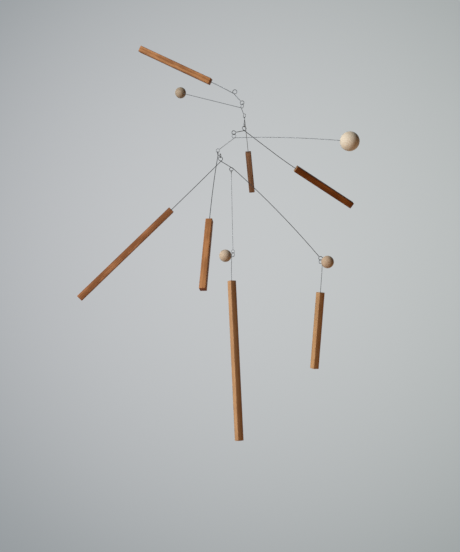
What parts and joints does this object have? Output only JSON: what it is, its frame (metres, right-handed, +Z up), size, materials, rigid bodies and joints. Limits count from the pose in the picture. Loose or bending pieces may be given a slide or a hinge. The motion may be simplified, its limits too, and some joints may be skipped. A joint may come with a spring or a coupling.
{
  "type": "hanging mobile sculpture",
  "caption": "Hanging mobile of bent steel wires with square hardwood sticks and small wooden balls, each arm hung from the eye of the one above.",
  "frame": {"origin": "the bearing point inside the top coil, on the underside of its wire, where the mobile is hung", "axes": "+Z up, against the hang; +X to the right in the picture; +Y away from the camera"},
  "size_m": [0.4412, 0.3047, 0.6446],
  "materials": {
    "hardwood": "satin",
    "ball_wood": "matte",
    "stout_wire": "satin",
    "slim_wire": "satin"
  },
  "bodies": {
    "arm_1": {"arm_1_wire": "stout_wire", "arm_1_stick": "hardwood"},
    "arm_2": {"arm_2_wire": "slim_wire", "arm_2_ball": "ball_wood"},
    "arm_3": {"arm_3_wire": "slim_wire", "arm_3_stick": "hardwood"},
    "arm_4": {"arm_4_wire": "stout_wire", "arm_4_stick": "hardwood"},
    "arm_5": {"arm_5_wire": "slim_wire", "arm_5_ball": "ball_wood"},
    "arm_6": {"arm_6_wire": "stout_wire", "arm_6_stick": "hardwood"},
    "arm_7": {"arm_7_wire": "stout_wire", "arm_7_stick": "hardwood"},
    "link": {"link_wire": "slim_wire"},
    "arm_8": {"arm_8_wire": "slim_wire", "arm_8_ball": "ball_wood", "arm_8_stick": "hardwood"},
    "arm_9": {"arm_9_wire": "slim_wire", "arm_9_ball": "ball_wood", "arm_9_stick": "hardwood"}
  },
  "joints": [
    {"name": "arm_2_turn", "type": "hinge", "parent": "arm_1", "child": "arm_2", "pos_m": [0.01127, -0.00291, -0.0247], "axis": [0, 0, 1], "range_deg": [-90, 5]},
    {"name": "arm_3_turn", "type": "hinge", "parent": "arm_2", "child": "arm_3", "pos_m": [0.01435, -0.00824, -0.04823], "axis": [0, 0, 1], "range_deg": [-90, 5]},
    {"name": "arm_4_turn", "type": "hinge", "parent": "arm_3", "child": "arm_4", "pos_m": [0.01358, -0.00991, -0.06405], "axis": [0, 0, 1], "range_deg": [-45, 20]},
    {"name": "arm_5_turn", "type": "hinge", "parent": "arm_4", "child": "arm_5", "pos_m": [-0.00314, -0.01459, -0.07722], "axis": [0, 0, 1], "range_deg": [-85, 10]},
    {"name": "arm_6_turn", "type": "hinge", "parent": "arm_5", "child": "arm_6", "pos_m": [-0.02908, 0.00291, -0.10054], "axis": [0, 0, 1], "range_deg": [-60, 25]},
    {"name": "arm_7_turn", "type": "hinge", "parent": "arm_6", "child": "arm_7", "pos_m": [-0.02511, 0.01539, -0.10532], "axis": [0, 0, 1], "range_deg": [-60, 20]},
    {"name": "link_turn", "type": "hinge", "parent": "arm_7", "child": "link", "pos_m": [-0.00814, 0.01621, -0.12778], "axis": [0, 0, 1], "range_deg": [-45, 45]},
    {"name": "arm_8_turn", "type": "hinge", "parent": "link", "child": "arm_8", "pos_m": [-0.00814, 0.01621, -0.26108], "axis": [0, 0, 1], "range_deg": [-75, 30]},
    {"name": "arm_9_turn", "type": "hinge", "parent": "arm_7", "child": "arm_9", "pos_m": [0.13288, 0.03271, -0.27307], "axis": [0, 0, 1], "range_deg": [-80, 15]}
  ]
}
